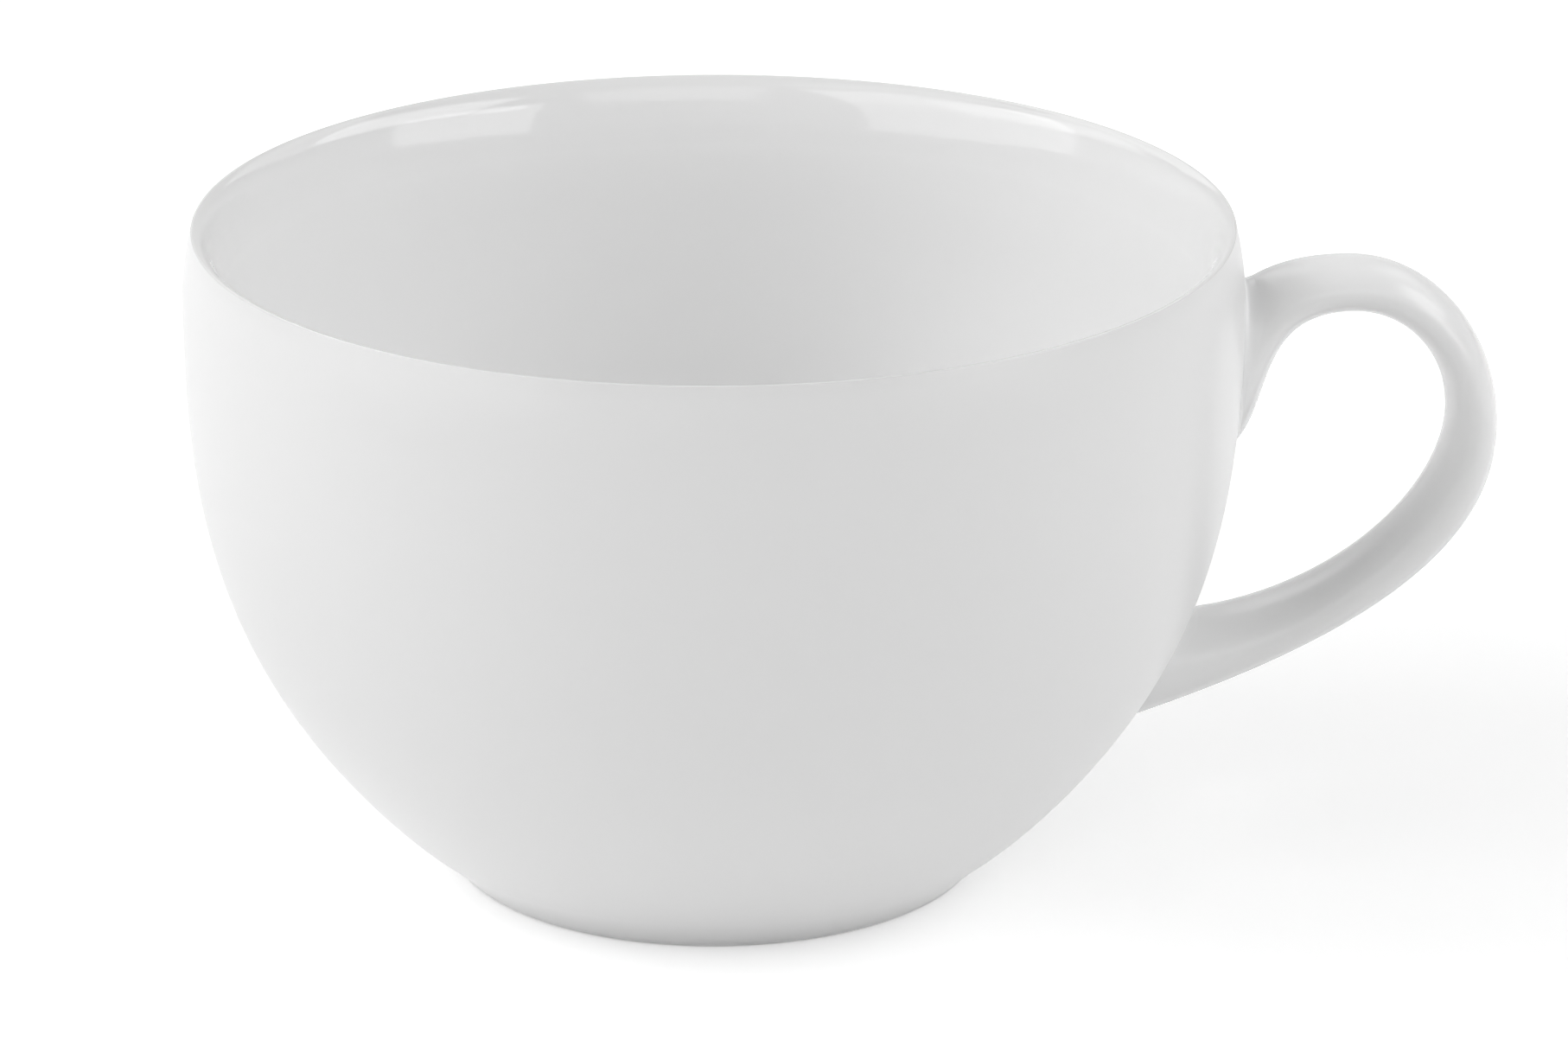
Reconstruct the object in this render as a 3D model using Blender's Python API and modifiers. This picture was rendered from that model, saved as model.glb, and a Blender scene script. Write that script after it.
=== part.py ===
"""White porcelain tea cup with one loop handle, modelled piece by piece.

Units are metres and +Z is up. The cup stands on z = 0, its handle points along +X, and the
origin lies under the middle of its bounding box. The bowl is turned about the axis of the empty
called cup_axis, the handle is a strap lofted between two rails, and two pads of joining clay sit
between the ends of the handle and the wall of the bowl.
"""

from dataclasses import dataclass
import math

import bmesh
import bpy
import numpy as np

# Bowl: the belly is its widest ring, above it the wall turns in, and the lip tapers to a fine edge
CUP_HEIGHT = 0.0654
BELLY_RADIUS = 0.0515
BELLY_DROP = 0.0065
BELLY_POWER = 2.85
WALL_THICKNESS = 0.0044
LIP_INSET = 0.0010
LIP_POWER = 1.6
LIP_TAPER = 0.0140
LIP_EDGE_ROUND = 0.00025
FLOOR_THICKNESS = 0.0045
FLOOR_BLEND = 0.0080

# Foot: a hollow cove leads from the wall down to a flat ring round a shallow recess
FOOT_RADIUS = 0.0262
FOOT_WIDTH = 0.0038
FOOT_ROUND = 0.0006
COVE_SPREAD = 0.0053
COVE_HEIGHT = 0.0050
COVE_DEPTH = 0.00012
RECESS_DEPTH = 0.0020
RECESS_CROWN = 0.0003

# Handle: drops are taken down from the rim, reaches out from the belly, heights up from the table
STRAP_WIDTH = 0.0100
STRAP_THICKNESS = 0.0050
ROOT_FLARE = 0.0032
CROWN_OUT = 0.0107
CROWN_DROP = 0.0049
HANDLE_REACH = 0.0255
ELBOW_DROP = 0.0222
ELBOW_RISE = 0.0014
UPPER_ROOT_DROP = 0.0075
UPPER_ROOT_LENGTH = 0.0161
LOWER_ROOT_HEIGHT = 0.0130
LOWER_ROOT_LENGTH = 0.0108

# Joints: a seam on each side of the slip, and how far the uncut shapes run past their cuts
SLIP_THICKNESS = 0.0006
SEAM = 0.0003
ROOT_EMBED = 0.0040
SLIP_MARGIN = 0.0040

# Facets: points along each stretch of a curve
TURN_STEPS = 64
FLOOR_POINTS = 10
INNER_WALL_POINTS = 10
LIP_POINTS = 12
LIP_EDGE_POINTS = 5
OUTER_WALL_POINTS = 20
COVE_POINTS = 6
EDGE_POINTS = 4
CORE_POINTS = 28
SLIP_POINTS = 12
STRAP_SIDES = 24
RISE_STATIONS = 12
BEND_STATIONS = 10
FALL_STATIONS = 16

# Numerical settings
QUARTER_ARC_PULL = 0.5523
ROUNDS_TO_SETTLE = 20
SLOPE_STEP = 0.00001
MERGE_DISTANCE = 0.00001

# Colours, as linear red, green and blue
GLAZE_COLOUR = (0.80, 0.80, 0.795, 1.0)
SLIP_COLOUR = (0.76, 0.755, 0.745, 1.0)
GLAZE_ROUGHNESS = 0.08
SLIP_ROUGHNESS = 0.20

# Places worked out from the sizes
BELLY_HEIGHT = CUP_HEIGHT - BELLY_DROP
COVE_RADIUS = FOOT_RADIUS + COVE_SPREAD
FLOOR_TOP = RECESS_DEPTH + RECESS_CROWN + FLOOR_THICKNESS
FLOOR_CURVE_LOW = -COVE_HEIGHT - WALL_THICKNESS
FLOOR_CURVE_HIGH = FLOOR_TOP + FLOOR_BLEND
UPPER_ROOT_HEIGHT = CUP_HEIGHT - UPPER_ROOT_DROP
HANDLE_GAP = SEAM + SLIP_THICKNESS + SEAM
AXIS_X = -HANDLE_REACH / 2


@dataclass(frozen=True)
class RailShape:
    """How one edge of the strap runs: angles in degrees, pulls in metres."""

    leave_angle: float
    leave_pull: float
    crown_pull: float
    elbow_pull: float
    land_angle: float
    land_pull: float


OUTER_RAIL = RailShape(leave_angle=20.0, leave_pull=0.0013, crown_pull=0.0073,
                       elbow_pull=0.0120, land_angle=18.4, land_pull=0.0282)
INNER_RAIL = RailShape(leave_angle=45.6, leave_pull=0.0058, crown_pull=0.0099,
                       elbow_pull=0.0088, land_angle=2.0, land_pull=0.0150)


def clear_scene():
    """Remove every object that the scene starts with."""
    for item in list(bpy.data.objects):
        bpy.data.objects.remove(item, do_unlink=True)


def new_collection(name):
    """Add a collection to the scene."""
    collection = bpy.data.collections.new(name)
    bpy.context.scene.collection.children.link(collection)
    return collection


def new_material(name, colour, roughness):
    """Make a plain glazed surface of one colour."""
    material = bpy.data.materials.new(name)
    material.use_nodes = True
    shader = material.node_tree.nodes["Principled BSDF"]
    shader.inputs["Base Color"].default_value = colour
    shader.inputs["Roughness"].default_value = roughness
    shader.inputs["Metallic"].default_value = 0.0
    material.diffuse_color = colour
    return material


def add_object(name, mesh, collection, parent, material=None):
    """Place a mesh under the cup's axis, in one collection, with one material."""
    item = bpy.data.objects.new(name, mesh)
    collection.objects.link(item)
    item.parent = parent
    if material is not None and not mesh.materials:
        mesh.materials.append(material)
    return item


# The bowl's curves

def wall_radius(height):
    """Outer radius of the wall: a power curve up to the belly, then another one into the lip."""
    height = np.asarray(height, dtype=float)
    below = np.clip(BELLY_HEIGHT - height, 0.0, None) / (BELLY_HEIGHT - COVE_HEIGHT)
    above = np.clip(height - BELLY_HEIGHT, 0.0, None) / BELLY_DROP
    drawn_in = (BELLY_RADIUS - COVE_RADIUS) * below ** BELLY_POWER
    return BELLY_RADIUS - drawn_in - LIP_INSET * above ** LIP_POWER


def wall_slope(height):
    """How fast the wall's outer radius grows with height."""
    return (wall_radius(height + SLOPE_STEP) - wall_radius(height - SLOPE_STEP)) / (2 * SLOPE_STEP)


def wall_points(heights, offset):
    """Points of the wall's curve moved outwards by an offset along the curve's normal."""
    heights = np.asarray(heights, dtype=float)
    slope = wall_slope(heights)
    length = np.hypot(1.0, slope)
    return np.stack([wall_radius(heights) + offset / length, heights - offset * slope / length], axis=1)


def arc(centre, radius, start, end, count):
    """Points on a circle from one angle to another, in degrees, both ends included."""
    angles = np.radians(np.linspace(start, end, count))
    return np.stack([centre[0] + radius * np.cos(angles), centre[1] + radius * np.sin(angles)], axis=1)


def smooth_max(first, second, blend):
    """The larger of two heights, rounded where they come within the blend of each other."""
    near = np.clip(blend - np.abs(first - second), 0.0, None)
    return np.maximum(first, second) + near ** 2 / (4 * blend)


def wall_behind(point):
    """Height on the outer wall that lies square to a point, and how far inside the wall it is."""
    height = point[1]
    inside = 0.0
    for _ in range(ROUNDS_TO_SETTLE):
        slope = wall_slope(height)
        out, up = point[0] - wall_radius(height), point[1] - height
        inside = (slope * up - out) / math.hypot(1.0, slope)
        height += (slope * out + up) / (1.0 + slope ** 2)
    return height, inside


def lip_start():
    """Height on the outer wall where the edge of the lip begins, so that it tops out at the rim."""
    height = CUP_HEIGHT - LIP_EDGE_ROUND
    for _ in range(ROUNDS_TO_SETTLE):
        centre = wall_points([height], -LIP_EDGE_ROUND)[0]
        height += CUP_HEIGHT - LIP_EDGE_ROUND - centre[1]
    return height


def lip_edge(top):
    """Edge of the lip: a quarter circle from square across the wall to its outer side."""
    centre = wall_points([top], -LIP_EDGE_ROUND)[0]
    outer_normal = -math.degrees(math.atan(wall_slope(top)))
    return arc(centre, LIP_EDGE_ROUND, outer_normal + 90.0, outer_normal, LIP_EDGE_POINTS)


def inner_profile(edge_end):
    """Inside of the bowl from the middle of the floor up to the edge of the lip.

    The inner wall is the outer one moved in by its thickness, which grows from the edge to the
    whole wall by (3u - u^3) / 2, with u the root of the share of the taper gone down. The wall is
    carried on below the floor, where the floor's height takes over through a rounded corner.
    """
    start, edge_thickness = wall_behind(edge_end)
    taper_end = start - LIP_TAPER
    heights = np.concatenate([np.linspace(FLOOR_CURVE_LOW, FLOOR_CURVE_HIGH, FLOOR_POINTS),
                              np.linspace(FLOOR_CURVE_HIGH, taper_end, INNER_WALL_POINTS)[1:]])
    wall = wall_points(heights, -WALL_THICKNESS)
    wall[:, 1] = smooth_max(wall[:, 1], FLOOR_TOP, FLOOR_BLEND)
    u = np.linspace(1.0, 0.0, LIP_POINTS)[1:]
    thickness = edge_thickness + (WALL_THICKNESS - edge_thickness) * (3 * u - u ** 3) / 2
    lip = wall_points(start - LIP_TAPER * u ** 2, -thickness)
    return np.concatenate([[[0.0, FLOOR_TOP]], wall, lip])


def foot_profile():
    """Cove, foot ring and recessed underside, from the belly down and in to the axis."""
    foot_top = np.array([FOOT_RADIUS, FOOT_ROUND])
    cove_top = np.array([COVE_RADIUS, COVE_HEIGHT])
    chord = foot_top - cove_top
    inward = np.array([chord[1], -chord[0]]) / np.linalg.norm(chord)
    pull = (cove_top + foot_top) / 2 + 2 * COVE_DEPTH * inward
    share = np.linspace(0.0, 1.0, COVE_POINTS)[1:-1, None]
    cove = (1 - share) ** 2 * cove_top + 2 * share * (1 - share) * pull + share ** 2 * foot_top
    inner_radius = FOOT_RADIUS - FOOT_WIDTH
    outer_edge = arc((FOOT_RADIUS - FOOT_ROUND, FOOT_ROUND), FOOT_ROUND, 0.0, -90.0, EDGE_POINTS)
    inner_edge = arc((inner_radius + FOOT_ROUND, FOOT_ROUND), FOOT_ROUND, 270.0, 180.0, EDGE_POINTS)
    corner_centre = (inner_radius - FOOT_ROUND, RECESS_DEPTH - FOOT_ROUND)
    corner = arc(corner_centre, FOOT_ROUND, 0.0, 90.0, EDGE_POINTS)
    middle = [[0.0, RECESS_DEPTH + RECESS_CROWN]]
    return np.concatenate([cove, outer_edge, inner_edge, corner, middle])


def bowl_profile():
    """Whole section of the bowl, from the floor's middle over the lip and under the foot."""
    top = lip_start()
    edge = lip_edge(top)
    outside = wall_points(np.linspace(top, COVE_HEIGHT, OUTER_WALL_POINTS), 0.0)
    return np.concatenate([inner_profile(edge[0]), edge[1:-1], outside, foot_profile()])


# Turned pieces

def turned_mesh(name, points, closed):
    """Profile of edges in the XZ plane, ready to be turned about Z."""
    count = len(points)
    edges = [(i, i + 1) for i in range(count - 1)]
    if closed:
        edges.append((count - 1, 0))
    mesh = bpy.data.meshes.new(name)
    mesh.from_pydata([(radius, 0.0, height) for radius, height in points], edges, [])
    return mesh


def turn(item):
    """Turn an object's profile once about Z."""
    screw = item.modifiers.new("turned", "SCREW")
    screw.axis = "Z"
    screw.angle = 2 * math.pi
    screw.steps = TURN_STEPS
    screw.render_steps = TURN_STEPS
    screw.use_merge_vertices = True
    screw.merge_threshold = MERGE_DISTANCE


def add_cutter(name, points, closed, collection, parent):
    """Turned solid that only shapes other pieces."""
    cutter = add_object(name, turned_mesh(name, points, closed), collection, parent)
    turn(cutter)
    cutter.hide_render = True
    cutter.display_type = "WIRE"
    return cutter


def wall_core_points():
    """Solid core that reaches out from the axis to where the handle's ends stop."""
    side = wall_points(np.linspace(CUP_HEIGHT, 0.0, CORE_POINTS), HANDLE_GAP)
    top = [[0.0, side[0, 1]]]
    bottom = [[0.0, side[-1, 1]]]
    return np.concatenate([top, side, bottom])


def slip_ring_points(low, high):
    """Thin ring that follows the wall between two heights, one seam away from it."""
    heights = np.linspace(high, low, SLIP_POINTS)
    outer = wall_points(heights, SEAM + SLIP_THICKNESS)
    inner = wall_points(heights[::-1], SEAM)
    return np.concatenate([outer, inner])


# The handle

def bezier(start, start_pull, end_pull, end, count):
    """Points of a cubic curve, without its last one."""
    share = np.linspace(0.0, 1.0, count + 1)[:-1, None]
    rest = 1.0 - share
    from_start = rest ** 3 * start + 3 * rest ** 2 * share * start_pull
    from_end = share ** 3 * end + 3 * rest * share ** 2 * end_pull
    return from_start + from_end


def heading(angle):
    """Unit direction in the XZ plane at an angle above +X, in degrees."""
    return np.array([math.cos(math.radians(angle)), math.sin(math.radians(angle))])


def rail_points(shape, upper_height, crown, elbow, lower_height):
    """One edge of the strap in the XZ plane, from the upper root over the crown to the lower root."""
    upper = wall_points([upper_height], 0.0)[0]
    lower = wall_points([lower_height], 0.0)[0]
    leave = shape.leave_pull * heading(shape.leave_angle)
    land = shape.land_pull * heading(shape.land_angle)
    level = heading(0.0)
    upright = heading(90.0)
    rise = bezier(upper, upper + leave, crown - shape.crown_pull * level, crown, RISE_STATIONS)
    bend = bezier(crown, crown + QUARTER_ARC_PULL * (elbow[0] - crown[0]) * level,
                  elbow + QUARTER_ARC_PULL * (crown[1] - elbow[1]) * upright, elbow, BEND_STATIONS)
    fall = bezier(elbow, elbow - shape.elbow_pull * upright, lower + land, lower, FALL_STATIONS)
    embed = ROOT_EMBED * level
    return np.concatenate([[upper - embed], rise, bend, fall, [lower], [lower - embed]])


def strap_widths(count):
    """Width at each station: even along the loop and flared towards both roots."""
    from_upper = np.arange(count) / RISE_STATIONS
    from_lower = np.arange(count)[::-1] / FALL_STATIONS
    nearness = np.clip(1.0 - np.minimum(from_upper, from_lower), 0.0, 1.0)
    return STRAP_WIDTH + ROOT_FLARE * nearness ** 2


def strap_rings():
    """Oval sections of the strap, one ring of points for each station."""
    crown = np.array([BELLY_RADIUS + CROWN_OUT, CUP_HEIGHT - CROWN_DROP])
    elbow = np.array([BELLY_RADIUS + HANDLE_REACH, CUP_HEIGHT - ELBOW_DROP])
    outer = rail_points(OUTER_RAIL, UPPER_ROOT_HEIGHT, crown, elbow, LOWER_ROOT_HEIGHT)
    inner = rail_points(INNER_RAIL, UPPER_ROOT_HEIGHT - UPPER_ROOT_LENGTH,
                        crown - np.array([0.0, STRAP_THICKNESS]),
                        elbow + np.array([-STRAP_THICKNESS, ELBOW_RISE]),
                        LOWER_ROOT_HEIGHT + LOWER_ROOT_LENGTH)
    middle = (outer + inner) / 2
    half = (outer - inner) / 2
    widths = strap_widths(len(outer))
    angles = np.linspace(0.0, 2 * math.pi, STRAP_SIDES, endpoint=False)
    in_plane = middle[:, None, :] + np.cos(angles)[None, :, None] * half[:, None, :]
    across = np.sin(angles)[None, :] * widths[:, None] / 2
    return np.stack([in_plane[..., 0], across, in_plane[..., 1]], axis=-1)


def strap_mesh(name):
    """Closed skin over the strap's oval sections."""
    shell = bmesh.new()
    rings = [[shell.verts.new(point) for point in ring] for ring in strap_rings()]
    for ring, following in zip(rings, rings[1:]):
        for i in range(STRAP_SIDES):
            j = (i + 1) % STRAP_SIDES
            shell.faces.new((ring[i], ring[j], following[j], following[i]))
    shell.faces.new(rings[0])
    shell.faces.new(rings[-1])
    bmesh.ops.recalc_face_normals(shell, faces=shell.faces)
    mesh = bpy.data.meshes.new(name)
    shell.to_mesh(mesh)
    shell.free()
    mesh.shade_smooth()
    return mesh


def cut(item, cutter, operation):
    """Trim an object with a cutter."""
    boolean = item.modifiers.new(cutter.name, "BOOLEAN")
    boolean.object = cutter
    boolean.operation = operation


# The four pieces

def add_bowl(collection, parent):
    """Turned bowl with its lip, cove, foot ring and recessed underside."""
    glaze = new_material("bowl_glaze", GLAZE_COLOUR, GLAZE_ROUGHNESS)
    bowl = add_object("bowl", turned_mesh("bowl", bowl_profile(), False), collection, parent, glaze)
    turn(bowl)


def add_handle(collection, cutters, parent):
    """Strap handle whose ends stop short of the wall by the joint's thickness and its two seams."""
    glaze = new_material("handle_glaze", GLAZE_COLOUR, GLAZE_ROUGHNESS)
    handle = add_object("handle", strap_mesh("handle"), collection, parent, glaze)
    core = add_cutter("wall_core", wall_core_points(), False, cutters, parent)
    cut(handle, core, "DIFFERENCE")


def add_slip_joint(name, low, high, collection, cutters, parent):
    """Thin pad of joining clay, as wide and tall as the end of the handle that it holds."""
    slip = new_material(name + "_clay", SLIP_COLOUR, SLIP_ROUGHNESS)
    joint = add_object(name, strap_mesh(name), collection, parent, slip)
    section = slip_ring_points(low - SLIP_MARGIN, high + SLIP_MARGIN)
    ring = add_cutter(name + "_ring", section, True, cutters, parent)
    cut(joint, ring, "INTERSECT")


def main():
    """Build the cup."""
    clear_scene()
    parts = new_collection("tea_cup")
    cutters = new_collection("cutters")
    axis = bpy.data.objects.new("cup_axis", None)
    parts.objects.link(axis)
    axis.location.x = AXIS_X
    add_bowl(parts, axis)
    add_handle(parts, cutters, axis)
    upper_low = UPPER_ROOT_HEIGHT - UPPER_ROOT_LENGTH
    add_slip_joint("upper_slip_joint", upper_low, UPPER_ROOT_HEIGHT, parts, cutters, axis)
    lower_high = LOWER_ROOT_HEIGHT + LOWER_ROOT_LENGTH
    add_slip_joint("lower_slip_joint", LOWER_ROOT_HEIGHT, lower_high, parts, cutters, axis)


main()
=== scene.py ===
"""White porcelain tea cup with one loop handle: its looks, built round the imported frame.

Units are metres in the frame's own axes: the cup stands on z = 0 and its handle points along +X.
The bowl is a turned surface, the handle a strap carried along its loop, and a fillet of glazed slip
runs round each end of the handle. Every surface is worked out as whole arrays on a grid.
"""

import logging
import math
from dataclasses import dataclass
from enum import Enum

import bpy
import numpy as np
from mathutils import Matrix, Vector


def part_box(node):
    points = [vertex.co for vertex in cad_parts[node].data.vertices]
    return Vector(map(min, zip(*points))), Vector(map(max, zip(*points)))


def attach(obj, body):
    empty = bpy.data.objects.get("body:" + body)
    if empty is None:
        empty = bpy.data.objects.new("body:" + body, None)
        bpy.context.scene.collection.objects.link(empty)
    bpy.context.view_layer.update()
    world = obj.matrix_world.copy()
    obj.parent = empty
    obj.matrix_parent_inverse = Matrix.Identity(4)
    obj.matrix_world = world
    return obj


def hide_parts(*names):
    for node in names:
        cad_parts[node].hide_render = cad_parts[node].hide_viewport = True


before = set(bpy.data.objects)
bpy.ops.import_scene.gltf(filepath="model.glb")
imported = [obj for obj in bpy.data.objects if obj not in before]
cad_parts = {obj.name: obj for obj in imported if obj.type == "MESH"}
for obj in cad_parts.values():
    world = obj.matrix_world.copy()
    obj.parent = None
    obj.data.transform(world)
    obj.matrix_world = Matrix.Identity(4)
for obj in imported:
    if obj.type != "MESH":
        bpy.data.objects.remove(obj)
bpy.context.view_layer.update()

LOG = logging.getLogger("tea_cup")
BODY = "root"
Colour = tuple[float, float, float, float]
Point = np.ndarray | tuple[float, float]
Numbers = np.ndarray | float

# Numbers that pieces carry for their finish: how deep the glaze lies, and how satin it is. Both also darken
# the colour in places as painted shade
DEPTH_AND_SHADE = "glaze_depth_and_shade"
SATIN_AND_SHADE = "glaze_satin_and_shade"

# Half the height in metres over which the slope of the wall is taken
SLOPE_STEP = 0.0030
# Rounds after which a height that is corrected by its own error has settled
ROUNDS_TO_SETTLE = 12
# Points on a curve before it is cut or spaced anew
RAW_POINTS = 400
# Angle in degrees from which an edge is shaded as a sharp one
SHARP_FROM = 50.0
# Pull of a cubic curve that comes closest to a quarter circle, as a share of its radius
QUARTER_ARC_PULL = 0.5523
# Numbered sockets of the Mix node that carry colours
MIX_FIRST = 6
MIX_SECOND = 7
MIX_RESULT = 2


class Slot(Enum):
    """The record's material slots that pieces take their finish from."""

    GLAZE = "white_glaze"
    BARE = "bare_porcelain"


class RootEnd(Enum):
    """The two ends of the handle, each named by the joint that holds it."""

    UPPER = "upper_slip_joint"
    LOWER = "lower_slip_joint"


# Curves and surfaces


def arc(centre: Point, radius: float, start: float, end: float, count: int) -> np.ndarray:
    """Points on a circle, evenly spread from one angle to another with both ends.

    Args:
        centre: Middle of the circle.
        radius: Its radius.
        start: First angle in degrees, from +X towards +Z.
        end: Last angle in degrees.
        count: How many points.

    Returns:
        Array of count points.
    """
    angles = np.radians(np.linspace(start, end, count))
    return np.array(centre) + radius * np.stack([np.cos(angles), np.sin(angles)], axis=1)


def cubic(
    start: np.ndarray, pull: np.ndarray, late_pull: np.ndarray, end: np.ndarray, count: int
) -> np.ndarray:
    """Points of a cubic curve: (1-t)^3 start + 3(1-t)^2 t pull + 3(1-t) t^2 late_pull + t^3 end.

    Args:
        start: First point.
        pull: Point that the curve leaves the start towards.
        late_pull: Point that the curve comes from into its end.
        end: Last point.
        count: How many points, both ends included.

    Returns:
        Array of count points.
    """
    t = np.linspace(0.0, 1.0, count)[:, None]
    rest = 1.0 - t
    return rest**3 * start + 3 * rest**2 * t * pull + 3 * rest * t**2 * late_pull + t**3 * end


def quadratic(start: np.ndarray, corner: np.ndarray, end: np.ndarray, t: np.ndarray) -> np.ndarray:
    """Points that round a corner off: (1-t)^2 start + 2(1-t) t corner + t^2 end."""
    return (1 - t) ** 2 * start + 2 * t * (1 - t) * corner + t**2 * end


def heading(angle: float) -> np.ndarray:
    """Unit direction at an angle above +X, in degrees."""
    return np.array([math.cos(math.radians(angle)), math.sin(math.radians(angle))])


def smooth_max(first: np.ndarray, second: float, blend: float) -> np.ndarray:
    """The larger of two heights, rounded by near^2 / 4 blend where they come within the blend."""
    near = np.clip(blend - np.abs(first - second), 0.0, None)
    return np.maximum(first, second) + near**2 / (4 * blend)


def path_length(points: np.ndarray) -> np.ndarray:
    """Distance of each point from the first, along the path."""
    steps = np.linalg.norm(np.diff(points, axis=0), axis=1)
    return np.concatenate([[0.0], np.cumsum(steps)])


def along(points: np.ndarray, distances: np.ndarray) -> np.ndarray:
    """Points of a path at given distances from its first point."""
    lengths = path_length(points)
    return np.stack([np.interp(distances, lengths, column) for column in points.T], axis=1)


def evenly(points: np.ndarray, count: int) -> np.ndarray:
    """The same path with its points at even distances."""
    return along(points, np.linspace(0.0, path_length(points)[-1], count))


def signed_volume(corners: np.ndarray, triangles: np.ndarray) -> float:
    """Volume inside a skin, as the sum of its corner tetrahedra: negative if it is inside out."""
    first, second, third = (corners[triangles[:, k]] for k in range(3))
    return float(np.einsum("ij,ij->i", first, np.cross(second, third)).sum() / 6)


def skin(name: str, rings: np.ndarray, poles: tuple = (), looped: bool = False) -> bpy.types.Object:
    """Closed mesh over a grid of rings, with its faces pointing outwards.

    Each ring joins the next one by a band of quads. A band also joins the last ring to the first
    if the grid is looped, and otherwise a fan of triangles joins each end ring to its pole.

    Args:
        name: Name of the piece.
        rings: Array of rings by points by three coordinates.
        poles: First and last pole of a grid that isn't looped.
        looped: Whether the last ring joins the first.

    Returns:
        The new object at the origin, smooth shaded except across sharp edges.
    """
    count, sides = rings.shape[:2]
    row = np.arange(count if looped else count - 1)[:, None]
    column = np.arange(sides)[None, :]
    following = (column + 1) % sides
    after = (row + 1) % count
    here = row * sides
    there = after * sides
    bands = [here + column, here + following, there + following, there + column]
    quads = np.stack(bands, axis=-1).reshape(-1, 4)
    corners = rings.reshape(-1, 3)
    fans = np.zeros((0, 3), dtype=int)
    if not looped:
        first_pole = np.full(sides, len(corners))
        last_row = (count - 1) * sides
        first = np.stack([first_pole, following[0], column[0]], axis=1)
        last = np.stack([first_pole + 1, last_row + column[0], last_row + following[0]], axis=1)
        fans = np.concatenate([first, last])
        corners = np.concatenate([corners, np.array(poles)])
    triangles = np.concatenate([quads[:, :3], quads[:, [0, 2, 3]], fans])
    if signed_volume(corners, triangles) < 0:
        quads = quads[:, ::-1]
        fans = fans[:, ::-1]
    mesh = bpy.data.meshes.new(name)
    mesh.from_pydata(corners.tolist(), [], quads.tolist() + fans.tolist())
    mesh.shade_smooth()
    mesh.set_sharp_from_angle(angle=math.radians(SHARP_FROM))
    item = bpy.data.objects.new(name, mesh)
    bpy.context.scene.collection.objects.link(item)
    return item


def paint(item: bpy.types.Object, name: str, values: np.ndarray) -> None:
    """Store a number at each corner of a piece, in the order of its grid, for its finish to read."""
    numbers = np.zeros(len(item.data.vertices), dtype=np.float32)
    numbers[: values.size] = values.ravel()
    item.data.attributes.new(name, "FLOAT", "POINT").data.foreach_set("value", numbers)


# Finishes


class Graph:
    """Adds nodes to one node tree, with their values and links."""

    def __init__(self, tree: bpy.types.NodeTree) -> None:
        """Take the tree that the nodes go into."""
        self.tree = tree

    def add(self, kind: str, inputs: dict, **settings: object) -> bpy.types.Node:
        """Add a node.

        Args:
            kind: Blender's name for the node.
            inputs: What each input takes, by name or number: a value, or a socket to link.
            settings: The node's own options.

        Returns:
            The new node.
        """
        node = self.tree.nodes.new(kind)
        for option, value in settings.items():
            setattr(node, option, value)
        for key, value in inputs.items():
            if isinstance(value, bpy.types.NodeSocket):
                self.tree.links.new(value, node.inputs[key])
            else:
                node.inputs[key].default_value = value
        return node

    def number(self, operation: str, *values: object, clamp: bool = False) -> bpy.types.NodeSocket:
        """Add a Math node and return its result."""
        sockets = dict(enumerate(values))
        return self.add("ShaderNodeMath", sockets, operation=operation, use_clamp=clamp).outputs[0]

    def mix(self, share: object, first: object, second: object) -> bpy.types.NodeSocket:
        """Add a mix of two colours and return its result."""
        sockets = {"Factor": share, MIX_FIRST: first, MIX_SECOND: second}
        return self.add("ShaderNodeMix", sockets, data_type="RGBA").outputs[MIX_RESULT]

    def remap(self, value: object, low: object, high: object) -> bpy.types.NodeSocket:
        """Stretch a value from 0 to 1 onto another range and return it."""
        sockets = {"Value": value, "To Min": low, "To Max": high}
        return self.add("ShaderNodeMapRange", sockets).outputs[0]

    def noise(self, position: object, scale: object, detail: float) -> bpy.types.NodeSocket:
        """Add a noise texture and return its value, from 0 to 1."""
        sockets = {"Vector": position, "Scale": scale, "Detail": detail}
        return self.add("ShaderNodeTexNoise", sockets).outputs["Fac"]


def new_group(
    name: str, inputs: dict[str, str], outputs: dict[str, str]
) -> tuple[Graph, dict[str, bpy.types.NodeSocket], bpy.types.Node]:
    """Start a shader node group.

    Args:
        name: Name of the group.
        inputs: Kind of each input socket, by name.
        outputs: Kind of each output socket, by name.

    Returns:
        The group's graph, its input sockets by name, and its output node.
    """
    tree = bpy.data.node_groups.new(name, "ShaderNodeTree")
    for socket, kind in inputs.items():
        tree.interface.new_socket(socket, in_out="INPUT", socket_type=kind)
    for socket, kind in outputs.items():
        tree.interface.new_socket(socket, in_out="OUTPUT", socket_type=kind)
    graph = Graph(tree)
    taken = graph.add("NodeGroupInput", {})
    given = graph.add("NodeGroupOutput", {})
    return graph, {socket: taken.outputs[socket] for socket in inputs}, given


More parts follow.
